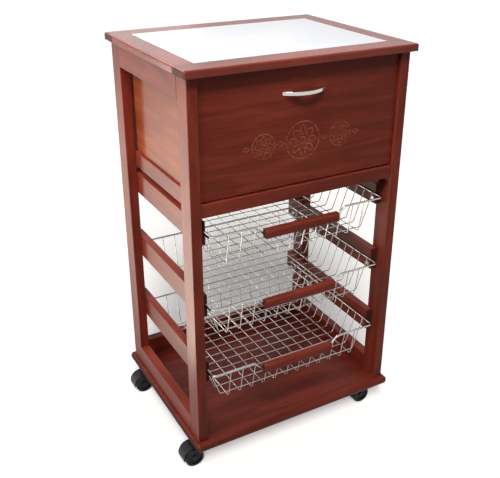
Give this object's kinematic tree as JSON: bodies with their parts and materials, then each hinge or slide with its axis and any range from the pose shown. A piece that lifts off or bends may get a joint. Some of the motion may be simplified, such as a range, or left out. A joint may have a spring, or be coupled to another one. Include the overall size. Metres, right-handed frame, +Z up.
{
  "type": "rolling bread cart",
  "caption": "Wooden kitchen cart on swivel casters: white worktop inset, drop-front bread box under it, sliding wire baskets on runners and an open bottom shelf.",
  "frame": {"origin": "on the floor, under the middle of the frame of posts", "axes": "+Z up, -Y to the front where the door and the baskets open, +X to the right seen from the front"},
  "size_m": [0.4867, 0.375, 0.8169],
  "materials": {
    "frame_wood": "red-brown stain under gloss lacquer",
    "top_wood": "red-brown stain under gloss lacquer",
    "shelf_wood": "red-brown stain under gloss lacquer",
    "door_wood": "red-brown stain under gloss lacquer",
    "panel_wood": "red-brown veneer, satin",
    "handle_wood": "red-brown stain under gloss lacquer",
    "white_laminate": "white gloss laminate",
    "dowel_wood": "plain beech",
    "zinc_steel": "zinc plated",
    "catch_plastic": "brown moulded",
    "polished_chrome": "polished",
    "wire_chrome": "bright plated wire",
    "hood_plastic": "black, moulded",
    "wheel_plastic": "black, moulded"
  },
  "bodies": {
    "cart": {"front_left_post": "frame_wood", "front_right_post": "frame_wood", "rear_left_post": "frame_wood", "rear_right_post": "frame_wood", "left_apron": "frame_wood", "left_bottom_rail": "frame_wood", "left_box_rail": "frame_wood", "right_apron": "frame_wood", "right_bottom_rail": "frame_wood", "right_box_rail": "frame_wood", "left_lower_runner": "frame_wood", "left_middle_runner": "frame_wood", "left_upper_runner": "frame_wood", "right_lower_runner": "frame_wood", "right_middle_runner": "frame_wood", "right_upper_runner": "frame_wood", "front_rail": "frame_wood", "rear_bottom_rail": "frame_wood", "top_front_rail": "top_wood", "top_rear_rail": "top_wood", "top_left_rail": "top_wood", "top_right_rail": "top_wood", "bottom_shelf": "shelf_wood", "left_side_panel": "panel_wood", "right_side_panel": "panel_wood", "box_floor": "panel_wood", "box_back_panel": "panel_wood", "worktop_inset": "white_laminate", "frame_dowels": "dowel_wood", "frame_screws": "zinc_steel", "caster_screws": "zinc_steel", "door_pivot_pins": "zinc_steel", "caster_plates": "zinc_steel", "door_catch": "catch_plastic"},
    "door": {"door_panel": "door_wood", "door_handle": "polished_chrome", "handle_screws": "zinc_steel", "catch_plate": "zinc_steel"},
    "lower_basket": {"lower_basket_rim": "wire_chrome", "lower_basket_cross_wires": "wire_chrome", "lower_basket_long_wires": "wire_chrome", "lower_basket_handle": "handle_wood"},
    "middle_basket": {"middle_basket_rim": "wire_chrome", "middle_basket_cross_wires": "wire_chrome", "middle_basket_long_wires": "wire_chrome", "middle_basket_handle": "handle_wood"},
    "upper_basket": {"upper_basket_rim": "wire_chrome", "upper_basket_cross_wires": "wire_chrome", "upper_basket_long_wires": "wire_chrome", "upper_basket_handle": "handle_wood"},
    "front_left_fork": {"front_left_caster_hood": "hood_plastic"},
    "front_left_wheels": {"front_left_caster_wheels": "wheel_plastic"},
    "front_right_fork": {"front_right_caster_hood": "hood_plastic"},
    "front_right_wheels": {"front_right_caster_wheels": "wheel_plastic"},
    "rear_left_fork": {"rear_left_caster_hood": "hood_plastic"},
    "rear_left_wheels": {"rear_left_caster_wheels": "wheel_plastic"},
    "rear_right_fork": {"rear_right_caster_hood": "hood_plastic"},
    "rear_right_wheels": {"rear_right_caster_wheels": "wheel_plastic"}
  },
  "joints": [
    {"name": "door_hinge", "type": "hinge", "parent": "cart", "child": "door", "pos_m": [0, -0.164, 0.585], "axis": [1, 0, 0], "range_deg": [0, 90]},
    {"name": "lower_basket_slide", "type": "slide", "parent": "cart", "child": "lower_basket", "axis": [0, -1, 0], "range_m": [0, 0.25]},
    {"name": "middle_basket_slide", "type": "slide", "parent": "cart", "child": "middle_basket", "axis": [0, -1, 0], "range_m": [0, 0.25]},
    {"name": "upper_basket_slide", "type": "slide", "parent": "cart", "child": "upper_basket", "axis": [0, -1, 0], "range_m": [0, 0.25]},
    {"name": "front_left_swivel", "type": "hinge", "parent": "cart", "child": "front_left_fork", "pos_m": [-0.209, -0.138, 0.045], "axis": [0, 0, 1], "continuous": true},
    {"name": "front_left_roll", "type": "hinge", "parent": "front_left_fork", "child": "front_left_wheels", "pos_m": [-0.2287, -0.138, 0.02], "axis": [0, 1, 0], "continuous": true},
    {"name": "front_right_swivel", "type": "hinge", "parent": "cart", "child": "front_right_fork", "pos_m": [0.209, -0.138, 0.045], "axis": [0, 0, 1], "continuous": true},
    {"name": "front_right_roll", "type": "hinge", "parent": "front_right_fork", "child": "front_right_wheels", "pos_m": [0.1893, -0.138, 0.02], "axis": [0, 1, 0], "continuous": true},
    {"name": "rear_left_swivel", "type": "hinge", "parent": "cart", "child": "rear_left_fork", "pos_m": [-0.209, 0.138, 0.045], "axis": [0, 0, 1], "continuous": true},
    {"name": "rear_left_roll", "type": "hinge", "parent": "rear_left_fork", "child": "rear_left_wheels", "pos_m": [-0.2287, 0.138, 0.02], "axis": [0, 1, 0], "continuous": true},
    {"name": "rear_right_swivel", "type": "hinge", "parent": "cart", "child": "rear_right_fork", "pos_m": [0.209, 0.138, 0.045], "axis": [0, 0, 1], "continuous": true},
    {"name": "rear_right_roll", "type": "hinge", "parent": "rear_right_fork", "child": "rear_right_wheels", "pos_m": [0.1893, 0.138, 0.02], "axis": [0, 1, 0], "continuous": true}
  ]
}
